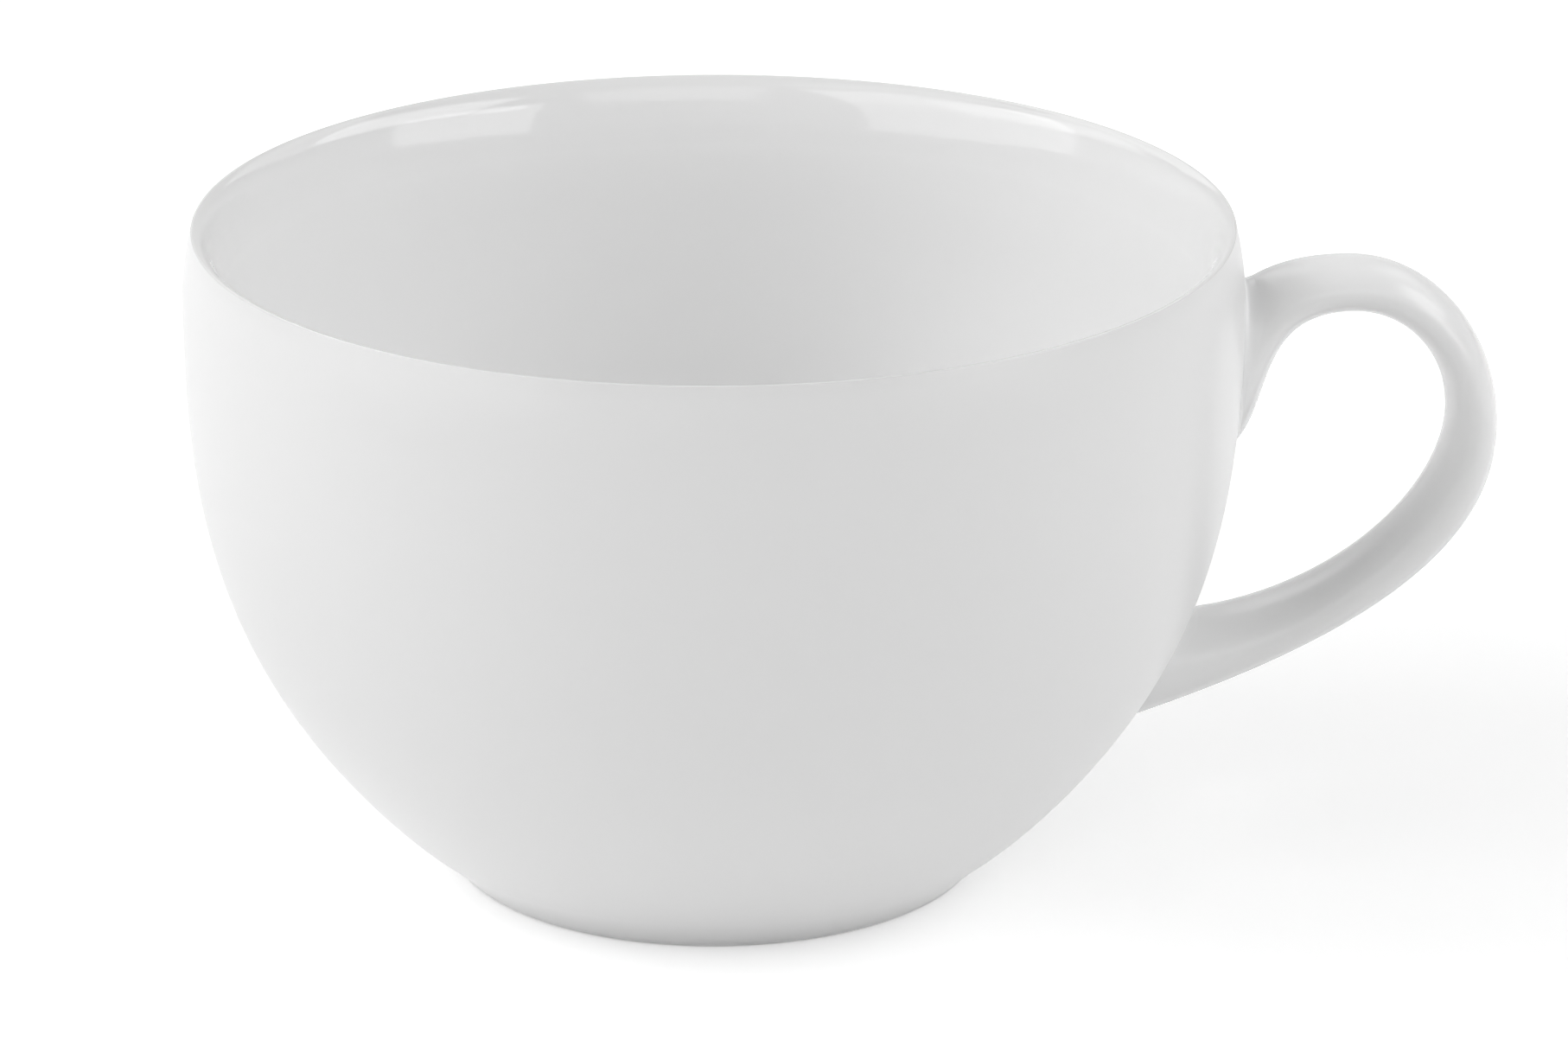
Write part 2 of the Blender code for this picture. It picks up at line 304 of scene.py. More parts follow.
class Effects:
    """Surface effects that the finishes share, each a node group that is built once."""

    FLOAT = "NodeSocketFloat"
    COLOUR = "NodeSocketColor"
    VECTOR = "NodeSocketVector"
    BROAD_DETAIL = 1.0
    FINE_DETAIL = 2.0

    def __init__(self) -> None:
        """Build the three groups."""
        self.waves = self.build_waves()
        self.tint_and_shade = self.build_tint_and_shade()
        self.specks = self.build_specks()

    def build_waves(self) -> bpy.types.NodeTree:
        """Height of a fired surface: broad waves plus a share of finer ones, and its patchy gloss."""
        inputs = {"Position": self.VECTOR, "Broad Scale": self.FLOAT, "Fine Scale": self.FLOAT,
                  "Fine Share": self.FLOAT, "Smoothest": self.FLOAT, "Roughest": self.FLOAT}
        outputs = {"Height": self.FLOAT, "Roughness": self.FLOAT}
        graph, take, give = new_group("fired_waves", inputs, outputs)
        broad = graph.noise(take["Position"], take["Broad Scale"], self.BROAD_DETAIL)
        fine = graph.noise(take["Position"], take["Fine Scale"], self.FINE_DETAIL)
        height = graph.number("MULTIPLY_ADD", fine, take["Fine Share"], broad)
        gloss = graph.remap(broad, take["Smoothest"], take["Roughest"])
        graph.tree.links.new(height, give.inputs["Height"])
        graph.tree.links.new(gloss, give.inputs["Roughness"])
        return graph.tree

    def build_tint_and_shade(self) -> bpy.types.NodeTree:
        """Colour of the glaze by its depth: one tint where it pools, another where it runs thin. Both tints
        are darker than the body and are partly painted shade, in hollows and on edges.
        """
        inputs = {"Depth": self.FLOAT, "Body": self.COLOUR, "Pooled And Shade": self.COLOUR, "Thin": self.COLOUR}
        graph, take, give = new_group("depth_tint_and_shade", inputs, {"Colour": self.COLOUR})
        pooled_and_shade = graph.number("MAXIMUM", take["Depth"], 0.0, clamp=True)
        thinned_and_shaded = graph.number("MULTIPLY", take["Depth"], -1.0, clamp=True)
        colour = graph.mix(pooled_and_shade, take["Body"], take["Pooled And Shade"])
        colour = graph.mix(thinned_and_shaded, colour, take["Thin"])
        graph.tree.links.new(colour, give.inputs["Colour"])
        return graph.tree

    def build_specks(self) -> bpy.types.NodeTree:
        """Fine specks of the clay: small dots in some cells of a cell pattern, darker than the rest."""
        inputs = {"Position": self.VECTOR, "Cells": self.FLOAT, "Share": self.FLOAT, "Size": self.FLOAT,
                  "Colour": self.COLOUR, "Speck": self.COLOUR, "Strength": self.FLOAT}
        graph, take, give = new_group("clay_specks", inputs, {"Colour": self.COLOUR})
        cells = graph.add("ShaderNodeTexVoronoi", {"Vector": take["Position"], "Scale": take["Cells"]})
        chance = graph.add("ShaderNodeSeparateColor", {"Color": cells.outputs["Color"]})
        chosen = graph.number("LESS_THAN", chance.outputs["Red"], take["Share"])
        from_middle = graph.number("DIVIDE", cells.outputs["Distance"], take["Size"])
        dot = graph.number("SUBTRACT", 1.0, from_middle, clamp=True)
        mask = graph.number("MULTIPLY", dot, chosen)
        strength = graph.number("MULTIPLY", mask, take["Strength"], clamp=True)
        colour = graph.mix(strength, take["Colour"], take["Speck"])
        graph.tree.links.new(colour, give.inputs["Colour"])
        return graph.tree


@dataclass(frozen=True)
class Finish:
    """A fired surface: its colours, some of them darker to paint shade, its gloss and relief. Scales are
    patterns to the metre.
    """

    name: str
    body: Colour
    # Body colour where the glaze is satin: darker than the glossy body, as painted shade
    satin_shade_body: Colour
    # Darker tints where the glaze pools and where it runs thin: partly glaze, partly painted shade
    pooled_and_shade: Colour
    thin_and_shade: Colour
    speck: Colour
    speck_strength: float
    smoothest: float
    roughest: float
    broad_scale: float
    fine_scale: float
    fine_share: float
    relief: float
    satin_roughness: float
    speck_cells: float = 260.0
    speck_share: float = 0.035
    speck_size: float = 0.045
    index_of_refraction: float = 1.5
    bump_strength: float = 1.0

    def material(self, effects: Effects) -> bpy.types.Material:
        """Make the material.

        Args:
            effects: The shared node groups.

        Returns:
            A material that reads object positions, and how deep and how satin the glaze is, which both also
            darken its colour as painted shade.
        """
        material = bpy.data.materials.new(self.name)
        material.use_nodes = True
        graph = Graph(material.node_tree)
        shader = material.node_tree.nodes["Principled BSDF"]
        position = graph.add("ShaderNodeTexCoord", {}).outputs["Object"]
        depth_and_shade = graph.add("ShaderNodeAttribute", {}, attribute_name=DEPTH_AND_SHADE).outputs["Fac"]
        satin_and_shade = graph.add("ShaderNodeAttribute", {}, attribute_name=SATIN_AND_SHADE).outputs["Fac"]
        # Satin parts take the darker body colour: painted shade on the same glaze
        body = graph.mix(satin_and_shade, self.body, self.satin_shade_body)
        fired = {
            "Position": position, "Broad Scale": self.broad_scale, "Fine Scale": self.fine_scale,
            "Fine Share": self.fine_share, "Smoothest": self.smoothest, "Roughest": self.roughest,
        }
        waves = graph.add("ShaderNodeGroup", fired, node_tree=effects.waves)
        glazed = {"Depth": depth_and_shade, "Body": body, "Pooled And Shade": self.pooled_and_shade, "Thin": self.thin_and_shade}
        tint_and_shade = graph.add("ShaderNodeGroup", glazed, node_tree=effects.tint_and_shade)
        dotted = {
            "Position": position, "Colour": tint_and_shade.outputs["Colour"], "Cells": self.speck_cells,
            "Share": self.speck_share, "Size": self.speck_size, "Speck": self.speck,
            "Strength": self.speck_strength,
        }
        specks = graph.add("ShaderNodeGroup", dotted, node_tree=effects.specks)
        raised = {"Height": waves.outputs["Height"], "Distance": self.relief, "Strength": self.bump_strength}
        bump = graph.add("ShaderNodeBump", raised)
        roughness = graph.number("MULTIPLY_ADD", satin_and_shade, self.satin_roughness, waves.outputs["Roughness"])
        graph.tree.links.new(specks.outputs["Colour"], shader.inputs["Base Color"])
        graph.tree.links.new(roughness, shader.inputs["Roughness"])
        graph.tree.links.new(bump.outputs["Normal"], shader.inputs["Normal"])
        shader.inputs["IOR"].default_value = self.index_of_refraction
        return material


GLAZE = Finish(
    name="white_glaze",
    body=(0.88, 0.88, 0.88, 1.0),
    # Outside and handle body, darker than the inside: painted shade
    satin_shade_body=(0.818, 0.818, 0.818, 1.0),
    # Pooled and thin tints, darker than the body: partly glaze, partly painted shade
    pooled_and_shade=(0.79, 0.793, 0.795, 1.0),
    thin_and_shade=(0.76, 0.76, 0.757, 1.0),
    speck=(0.55, 0.54, 0.52, 1.0),
    speck_strength=0.25,
    smoothest=0.05,
    roughest=0.10,
    broad_scale=90.0,
    fine_scale=700.0,
    fine_share=0.06,
    relief=0.00004,
    satin_roughness=0.24,
)
BARE = Finish(
    name="bare_porcelain",
    body=(0.76, 0.755, 0.74, 1.0),
    satin_shade_body=(0.76, 0.755, 0.74, 1.0),
    pooled_and_shade=(0.72, 0.715, 0.70, 1.0),
    thin_and_shade=(0.78, 0.775, 0.765, 1.0),
    speck=(0.45, 0.44, 0.42, 1.0),
    speck_strength=0.45,
    smoothest=0.55,
    roughest=0.75,
    broad_scale=400.0,
    fine_scale=3500.0,
    fine_share=0.5,
    relief=0.00003,
    satin_roughness=0.0,
)


def dress(item: bpy.types.Object, material: bpy.types.Material, slot: Slot, *nodes: str) -> None:
    """Finish a piece and tie it to the frame.

    Args:
        item: The piece.
        material: What it is made of.
        slot: The record's slot for that; not used.
        nodes: The frame's nodes that the piece stands for.
    """
    item.data.materials.append(material)
    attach(item, BODY)
    if nodes:
        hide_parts(*nodes)
    LOG.info("%s: %d faces", item.name, len(item.data.polygons))


# The bowl


@dataclass(frozen=True)
class Bowl:
    """Turned body of the cup, from the middle of its floor over the lip and under its foot."""

    axis_x: float
    belly_radius: float
    height: float
    # Wall and lip: the belly is the widest ring, and the wall thins upwards to the lip's fine edge
    belly_drop: float = 0.0065
    belly_power: float = 2.85
    lip_inset: float = 0.0010
    lip_power: float = 1.6
    edge_round: float = 0.00020
    lip_taper: float = 0.0140
    wall_thickness: float = 0.0044
    # Fade past the rim into the satin outside, whose colour is darker as painted shade
    satin_and_shade_fade: float = 0.0006
    # Inside floor
    floor_top: float = 0.0068
    floor_blend: float = 0.0080
    floor_reach: float = 0.0092
    # Cove, foot, recess under the foot, and bare standing ring
    cove_radius: float = 0.0315
    cove_height: float = 0.0050
    cove_depth: float = 0.00012
    crease_above: float = 0.0030
    crease_below: float = 0.0015
    foot_radius: float = 0.0262
    foot_width: float = 0.0038
    foot_round: float = 0.0003
    glaze_edge: float = 0.00012
    recess_depth: float = 0.0020
    recess_crown: float = 0.0003
    ring_round: float = 0.0003
    ring_sink: float = 0.0006
    # Unevenness from firing, and pooling of the glaze, whose darker tint is partly painted shade in hollows
    # and on edges
    oval_throw: float = 0.00006
    oval_turn: float = 0.6
    wave_throw: float = 0.00002
    wave_count: int = 5
    wave_twist: float = 9.0
    pool_shade_radius: float = 0.0012
    pool_shade_spread: int = 9
    # Points round the axis and along each stretch of the section
    turn_steps: int = 256
    inside_steps: int = 90
    lip_steps: int = 60
    lip_edge_steps: int = 12
    outside_steps: int = 90
    crease_steps: int = 16
    raw_cove_steps: int = 60
    cove_steps: int = 14
    foot_edge_steps: int = 8
    recess_steps: int = 24
    ring_edge_steps: int = 6
    ring_flat_steps: int = 8

    @classmethod
    def from_frame(cls) -> "Bowl":
        """Take the axis, belly and height from the frame's bowl."""
        low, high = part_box("bowl")
        return cls(axis_x=(low.x + high.x) / 2, belly_radius=(high.y - low.y) / 2, height=high.z)

    def wall_radius(self, height: Numbers) -> Numbers:
        """Outer radius at a height: a power curve up to the belly, then another one into the lip."""
        belly_height = self.height - self.belly_drop
        below = np.clip(belly_height - height, 0.0, None) / (belly_height - self.cove_height)
        above = np.clip(height - belly_height, 0.0, None) / self.belly_drop
        drawn_in = (self.belly_radius - self.cove_radius) * below**self.belly_power
        return self.belly_radius - drawn_in - self.lip_inset * above**self.lip_power

    def wall_slope(self, heights: Numbers) -> Numbers:
        """How fast the outer radius grows with height."""
        growth = self.wall_radius(heights + SLOPE_STEP) - self.wall_radius(heights - SLOPE_STEP)
        return growth / (2 * SLOPE_STEP)

    def wall_points(self, heights: np.ndarray, offset: Numbers) -> np.ndarray:
        """Points of the wall's curve, moved out along its normal by an offset."""
        slope = self.wall_slope(heights)
        length = np.hypot(1.0, slope)
        radii = self.wall_radius(heights) + offset / length
        return np.stack([radii, heights - offset * slope / length], axis=1)

    def wall_x(self, across: np.ndarray, height: np.ndarray) -> np.ndarray:
        """Where the wall lies along X on the handle's side: axis + sqrt(radius^2 - across^2)."""
        return self.axis_x + np.sqrt(self.wall_radius(height) ** 2 - across**2)

    def lip_start(self) -> float:
        """Height on the outer wall where the lip's edge begins, so that it tops out at the rim."""
        height = self.height - self.edge_round
        for _ in range(ROUNDS_TO_SETTLE):
            centre = self.wall_points(np.array([height]), np.array([-self.edge_round]))[0]
            height += self.height - self.edge_round - centre[1]
        return height

    def wall_behind(self, point: np.ndarray) -> tuple[float, float]:
        """Height of the outer wall's point that lies square to a point inside, and its distance."""
        height = point[1]
        distance = 0.0
        for _ in range(ROUNDS_TO_SETTLE):
            distance = float(np.linalg.norm(point - self.wall_points(np.array([height]), 0.0)[0]))
            height += point[1] - self.wall_points(np.array([height]), np.array([-distance]))[0, 1]
        return height, distance

    def lip_edge(self, top: float) -> np.ndarray:
        """Fine edge of the lip: a quarter circle from square across the wall to its outer side."""
        centre = self.wall_points(np.array([top]), np.array([-self.edge_round]))[0]
        outer_normal = -math.degrees(math.atan(self.wall_slope(top)))
        return arc(centre, self.edge_round, outer_normal + 90.0, outer_normal, self.lip_edge_steps)

    def inner_curve(self, edge_end: np.ndarray) -> np.ndarray:
        """Inside of the bowl from its floor to the lip's edge.

        The inner wall is the outer one moved in by its thickness, which grows from the edge to the
        whole wall by (3u - u^3) / 2, with u the root of the share of the taper gone down: fast at
        first, so that the lip is round inside, and then ever slower. The floor's height takes over
        at the bottom through a rounded corner.

        Args:
            edge_end: Radius and height where the edge begins.

        Returns:
            Array of radii and heights, from the floor up.
        """
        start, edge_thickness = self.wall_behind(edge_end)
        taper_end = start - self.lip_taper
        wall = self.wall_points(np.linspace(-self.floor_reach, taper_end, RAW_POINTS), -self.wall_thickness)
        wall[:, 1] = smooth_max(wall[:, 1], self.floor_top, self.floor_blend)
        wall = evenly(np.concatenate([[[0.0, self.floor_top]], wall]), self.inside_steps)[1:]
        u = np.linspace(1.0, 0.0, self.lip_steps)[1:]
        thickness = edge_thickness + (self.wall_thickness - edge_thickness) * (3 * u - u**3) / 2
        lip = self.wall_points(start - self.lip_taper * u**2, -thickness)
        return np.concatenate([wall, lip])

    def outer_curve(self, top: float) -> np.ndarray:
        """Outer wall and cove down to the foot's edge, with the crease between them rounded off.

        The cove is a quadratic curve whose middle lies cove_depth inside its chord, and the crease
        another one, from crease_above on the wall to crease_below on the cove.

        Args:
            top: Height on the wall where the curve starts.

        Returns:
            Array of radii and heights, from the lip down.
        """
        wall = self.wall_points(np.linspace(top, self.cove_height, RAW_POINTS), 0.0)
        foot_top = np.array([self.foot_radius, self.foot_round + self.glaze_edge])
        chord = foot_top - wall[-1]
        inward = np.array([chord[1], -chord[0]]) / np.linalg.norm(chord)
        pull = (wall[-1] + foot_top) / 2 + 2 * self.cove_depth * inward
        cove = quadratic(wall[-1], pull, foot_top, np.linspace(0.0, 1.0, self.raw_cove_steps)[:, None])
        wall_length = path_length(wall)[-1] - self.crease_above
        cove_length = path_length(cove)[-1]
        wall_part = along(wall, np.linspace(0.0, wall_length, self.outside_steps))
        cove_part = along(cove, np.linspace(self.crease_below, cove_length, self.cove_steps))
        t = np.linspace(0.0, 1.0, self.crease_steps)[1:-1, None]
        crease = quadratic(wall_part[-1], wall[-1], cove_part[0], t)
        return np.concatenate([wall_part, crease, cove_part])

    def foot_curve(self) -> np.ndarray:
        """Foot ring and recessed underside, from the foot's outer edge in towards the axis."""
        base = self.foot_round + self.glaze_edge
        steps = self.foot_edge_steps
        inner_radius = self.foot_radius - self.foot_width
        outer_edge = arc((self.foot_radius - self.foot_round, base), self.foot_round, 0.0, -90.0, steps)[1:]
        inner_edge = arc((inner_radius + self.foot_round, base), self.foot_round, 270.0, 180.0, steps)
        corner_centre = (inner_radius - self.foot_round, self.recess_depth - self.foot_round)
        corner = arc(corner_centre, self.foot_round, 0.0, 90.0, steps)
        out = np.linspace(1.0, 0.0, self.recess_steps)[1:-1]
        crown = self.recess_depth + self.recess_crown * (1 - out**2)
        flat = np.stack([corner[-1, 0] * out, crown], axis=1)
        return np.concatenate([outer_edge, inner_edge, corner, flat])

    def profile(self) -> np.ndarray:
        """Whole section of the bowl as radii and heights, without its two points on the axis."""
        top = self.lip_start()
        edge = self.lip_edge(top)
        inside = self.inner_curve(edge[0])
        return np.concatenate([inside, edge[1:-1], self.outer_curve(top), self.foot_curve()])

    def glaze_depths_and_shade(self, profile: np.ndarray) -> np.ndarray:
        """How deep the glaze lies along the profile: it pools in hollows, by their curvature. Its tint
        darkens hollows and edges, partly as painted shade.
        """
        tangent = np.gradient(profile, axis=0)
        turning = np.gradient(np.unwrap(np.arctan2(tangent[:, 1], tangent[:, 0])))
        bend = turning / np.linalg.norm(tangent, axis=1)
        depth_and_shade = np.clip(bend * self.pool_shade_radius, -1.0, 1.0)
        kernel = np.hanning(self.pool_shade_spread)
        return np.convolve(depth_and_shade, kernel / kernel.sum(), mode="same")

    def satin_and_shade_shares(self, profile: np.ndarray) -> np.ndarray:
        """How satin the glaze is along the profile: glossy inside, satin from the rim outwards, where the
        same share darkens the colour as painted shade.
        """
        rim = path_length(profile)[np.argmax(profile[:, 1])]
        return np.clip((path_length(profile) - rim) / self.satin_and_shade_fade + 0.5, 0.0, 1.0)

    def throw(self, turn: np.ndarray, heights: np.ndarray) -> np.ndarray:
        """How far firing moved the wall out: an oval that grows with height, and slow waves."""
        rise = heights / self.height
        oval = self.oval_throw * rise * np.cos(2 * turn + self.oval_turn)
        spiral = np.sin(self.wave_count * turn + self.wave_twist * rise)
        return oval + self.wave_throw * spiral * np.sin(math.pi * np.clip(rise, 0.0, 1.0))

    def turned(self, section: np.ndarray, thrown: bool) -> np.ndarray:
        """Rings of a section turned about the axis: each point goes round a circle of its radius.

        Args:
            section: Array of radii and heights.
            thrown: Whether the rings take the unevenness of the wall.

        Returns:
            Array of rings by points by three coordinates.
        """
        turn = np.linspace(0.0, 2 * math.pi, self.turn_steps, endpoint=False)[None, :]
        heights = np.repeat(section[:, 1:2], self.turn_steps, axis=1)
        radii = section[:, 0:1]
        if thrown:
            radii = radii + self.throw(turn, heights)
        return np.stack([self.axis_x + radii * np.cos(turn), radii * np.sin(turn), heights], axis=-1)

    def build(self) -> bpy.types.Object:
        """Turn the whole profile, close it on the axis, and mark how the glaze lies on it."""
        profile = self.profile()
        under_top = self.recess_depth + self.recess_crown
        poles = ((self.axis_x, 0.0, self.floor_top), (self.axis_x, 0.0, under_top))
        bowl = skin("bowl_body", self.turned(profile, thrown=True), poles)
        paint(bowl, DEPTH_AND_SHADE, np.repeat(self.glaze_depths_and_shade(profile)[:, None], self.turn_steps, axis=1))
        paint(bowl, SATIN_AND_SHADE, np.repeat(self.satin_and_shade_shares(profile)[:, None], self.turn_steps, axis=1))
        return bowl

    def build_standing_ring(self) -> bpy.types.Object:
        """Bare ring that the cup stands on: a flat band with round edges, let into the glazed foot."""
        outer = self.foot_radius - self.foot_round
        inner = self.foot_radius - self.foot_width + self.foot_round
        edge = self.ring_round
        outer_edge = arc((outer - edge, edge), edge, 0.0, -90.0, self.ring_edge_steps)
        inner_edge = arc((inner + edge, edge), edge, 270.0, 180.0, self.ring_edge_steps)
        flat = np.linspace(outer_edge[-1], inner_edge[0], self.ring_flat_steps)[1:-1]
        sunk = np.array([[inner, self.ring_sink], [outer, self.ring_sink]])
        section = np.concatenate([outer_edge, flat, inner_edge, sunk])
        return skin("standing_ring", self.turned(section, thrown=False), looped=True)


# The handle and its joints


@dataclass(frozen=True)
class Rail:
    """How one edge of the strap runs: angles in degrees, pulls in metres."""

    upper_height: float
    crown: tuple[float, float]
    elbow: tuple[float, float]
    lower_height: float
    leave_angle: float
    leave_pull: float
    crown_pull: float
    elbow_pull: float
    land_angle: float
    land_pull: float


@dataclass(frozen=True)
class Handle:
    """Strap handle, lofted between two rails from the upper root over the crown to the lower one."""

    bowl: Bowl
    outer: Rail = Rail(
        upper_height=0.0579,
        crown=(0.0622, 0.0605),
        elbow=(0.0770, 0.0432),
        lower_height=0.0130,
        leave_angle=20.0,
        leave_pull=0.0013,
        crown_pull=0.0073,
        elbow_pull=0.0120,
        land_angle=18.4,
        land_pull=0.0282,
    )
    inner: Rail = Rail(
        upper_height=0.0418,
        crown=(0.0622, 0.0555),
        elbow=(0.0720, 0.0446),
        lower_height=0.0238,
        leave_angle=45.6,
        leave_pull=0.0058,
        crown_pull=0.0099,
        elbow_pull=0.0088,
        land_angle=2.0,
        land_pull=0.0150,
    )
    # Width across the loop, and how the roots flare and meet the wall
    width: float = 0.0100
    root_flare: float = 0.0032
    rise_share: float = 0.22
    fall_share: float = 0.46
    embed: float = 0.0004
    settle: float = 0.0080
    # Sections along the loop, and points round each one
    stations: int = 200
    sides: int = 96
    # How the glaze lies on the strap, whose darker tints are partly painted shade
    edge_thin_shade: float = 0.12
    edge_narrowing: int = 12
    root_pool_shade: float = 0.5
    root_narrowing: int = 6
    # Satin share of the strap, which also darkens its colour as painted shade
    satin_and_shade: float = 0.6

    def rail_points(self, rail: Rail, count: int) -> np.ndarray:
        """One edge of the strap: a rise to the crown, a quarter bend to the elbow and a long fall.

        Args:
            rail: How the edge runs.
            count: Points on each of the three stretches.

        Returns:
            Array of distances from the bowl's axis and heights.
        """
        upper, lower = self.bowl.wall_points(np.array([rail.upper_height, rail.lower_height]), 0.0)
        crown = np.array(rail.crown)
        elbow = np.array(rail.elbow)
        level = heading(0.0)
        upright = heading(90.0)
        leave = upper + rail.leave_pull * heading(rail.leave_angle)
        land = lower + rail.land_pull * heading(rail.land_angle)
        rise = cubic(upper, leave, crown - rail.crown_pull * level, crown, count)
        over = crown + QUARTER_ARC_PULL * (elbow[0] - crown[0]) * level
        down = elbow + QUARTER_ARC_PULL * (crown[1] - elbow[1]) * upright
        bend = cubic(crown, over, down, elbow, count)
        fall = cubic(elbow, elbow - rail.elbow_pull * upright, land, lower, count)
        return np.concatenate([rise, bend[1:], fall[1:]])

    def rings(self) -> tuple[np.ndarray, np.ndarray]:
        """Oval sections of the strap, fitted to the wall at both roots.

        Each section spans the two rails: middle + cos(a) half in the plane of the loop, and
        sin(a) width / 2 across it. Near a root the rings move along X until the last one lies on
        the wall.

        Returns:
            Array of rings by points by three coordinates, and how near each ring is to a root.
        """
        outer = self.rail_points(self.outer, RAW_POINTS)
        inner = self.rail_points(self.inner, RAW_POINTS)
        lengths = path_length((outer + inner) / 2)
        spots = np.linspace(0.0, lengths[-1], self.stations)
        outer = np.stack([np.interp(spots, lengths, column) for column in outer.T], axis=1)
        inner = np.stack([np.interp(spots, lengths, column) for column in inner.T], axis=1)
        share = spots / spots[-1]
        from_root = np.minimum(share / self.rise_share, (1.0 - share) / self.fall_share)
        nearness = np.clip(1.0 - from_root, 0.0, 1.0)
        widths = self.width + self.root_flare * nearness**2
        angles = np.linspace(0.0, 2 * math.pi, self.sides, endpoint=False)
        middle = ((outer + inner) / 2)[:, None, :]
        half = ((outer - inner) / 2)[:, None, :]
        in_plane = middle + np.cos(angles)[None, :, None] * half
        across = np.sin(angles)[None, :] * widths[:, None] / 2
        rings = np.stack([self.bowl.axis_x + in_plane[..., 0], across, in_plane[..., 1]], axis=-1)
        for root, distance in ((0, spots), (-1, spots[-1] - spots)):
            gap = self.bowl.wall_x(rings[root, :, 1], rings[root, :, 2]) - rings[root, :, 0]
            ease = np.clip(1.0 - distance / self.settle, 0.0, 1.0) ** 2
            rings[..., 0] += ease[:, None] * gap[None, :]
        return rings, nearness

    def build(self) -> bpy.types.Object:
        """Skin the sections, with both ends carried a little way into the wall.

        The glaze runs thin on the two edges of the strap, by a power of the sine of the angle round
        the section, and pools towards the roots, by a power of the nearness to them. Both darken
        the colour, partly as painted shade.

        Returns:
            The strap.
        """
        rings, nearness = self.rings()
        sunk = np.array([self.embed, 0.0, 0.0])
        rings = np.concatenate([rings[:1] - sunk, rings, rings[-1:] - sunk])
        nearness = np.concatenate([nearness[:1], nearness, nearness[-1:]])
        strap = skin("handle_strap", rings, (rings[0].mean(axis=0), rings[-1].mean(axis=0)))
        angles = np.linspace(0.0, 2 * math.pi, self.sides, endpoint=False)
        # Darker on the strap's two sides and towards the roots: partly glaze, partly painted shade
        thinned_and_shaded = self.edge_thin_shade * np.abs(np.sin(angles)) ** self.edge_narrowing
        pooled_and_shade = self.root_pool_shade * nearness**self.root_narrowing
        paint(strap, DEPTH_AND_SHADE, pooled_and_shade[:, None] - thinned_and_shaded[None, :])
        # The satin share also darkens the strap as painted shade
        paint(strap, SATIN_AND_SHADE, np.full(rings.shape[:2], self.satin_and_shade))
        return strap


@dataclass(frozen=True)
class JointFillet:
    """Hollow bead of glazed slip round one end of the handle, easing the strap into the wall."""

    handle: Handle
    end: RootEnd
    up_strap: float
    over_wall: float
    sink: float = 0.0003
    lap: float = 0.00002
    steps: int = 24
    # Glaze pooled in the bead's hollow: a darker tint, partly painted shade in the corner
    pool_shade: float = 0.8

    def build(self) -> bpy.types.Object:
        """Round the corner between strap and wall off with a cubic curve at each angle.

        Each curve starts up_strap along the strap, is pulled towards the root from both sides, so
        that it leaves strap and wall without a bend, and ends over_wall out on the wall:
        (1-t)^3 start + 3 t (1-t) root + t^3 end. A sunk corner under the root closes the bead.

        Returns:
            The bead.
        """
        rings, _ = self.handle.rings()
        if self.end is RootEnd.LOWER:
            rings = rings[::-1]
        bowl = self.handle.bowl
        root = rings[0]
        run = np.linalg.norm(np.diff(rings, axis=0), axis=2)
        travelled = np.concatenate([np.zeros((1, run.shape[1])), np.cumsum(run, axis=0)])
        row = np.argmin(np.abs(travelled - self.up_strap), axis=0)
        start = rings[row, np.arange(rings.shape[1])]
        tangent = np.roll(root[:, 1:], -1, axis=0) - np.roll(root[:, 1:], 1, axis=0)
        outward = np.stack([tangent[:, 1], -tangent[:, 0]], axis=1)
        outward /= np.linalg.norm(outward, axis=1)[:, None]
        middle = root[:, 1:].mean(axis=0)
        outward *= np.sign(np.einsum("ij,ij->i", outward, root[:, 1:] - middle))[:, None]
        spread = root[:, 1:] + self.over_wall * outward
        end = np.concatenate([bowl.wall_x(spread[:, 0], spread[:, 1])[:, None], spread], axis=1)
        inwards = rings[1].mean(axis=0) - start
        start = start + self.lap * inwards / np.linalg.norm(inwards, axis=1)[:, None]
        end[:, 0] -= self.lap
        t = np.linspace(0.0, 1.0, self.steps)[:, None, None]
        bead = (1 - t) ** 3 * start + 3 * t * (1 - t) * root + t**3 * end
        buried = root - np.array([self.sink, 0.0, 0.0])
        buried[:, 1:] -= self.sink * outward
        name = self.end.value.replace("slip_joint", "joint_fillet")
        fillet = skin(name, np.concatenate([bead, buried[None]]), looped=True)
        # Pooling peaks in the bead's middle: a darker tint, partly painted shade where strap meets wall
        depth_and_shade = np.concatenate([self.pool_shade * 4 * t * (1 - t), np.zeros((1, 1, 1))])[:, :, 0]
        paint(fillet, DEPTH_AND_SHADE, np.repeat(depth_and_shade, rings.shape[1], axis=1))
        # Satin share from the strap's towards the wall's, which also darkens the colour as painted shade
        satin_and_shade = self.handle.satin_and_shade + (1 - self.handle.satin_and_shade) * t[:, :, 0]
        paint(fillet, SATIN_AND_SHADE, np.repeat(satin_and_shade, rings.shape[1], axis=1))
        return fillet


# The studio


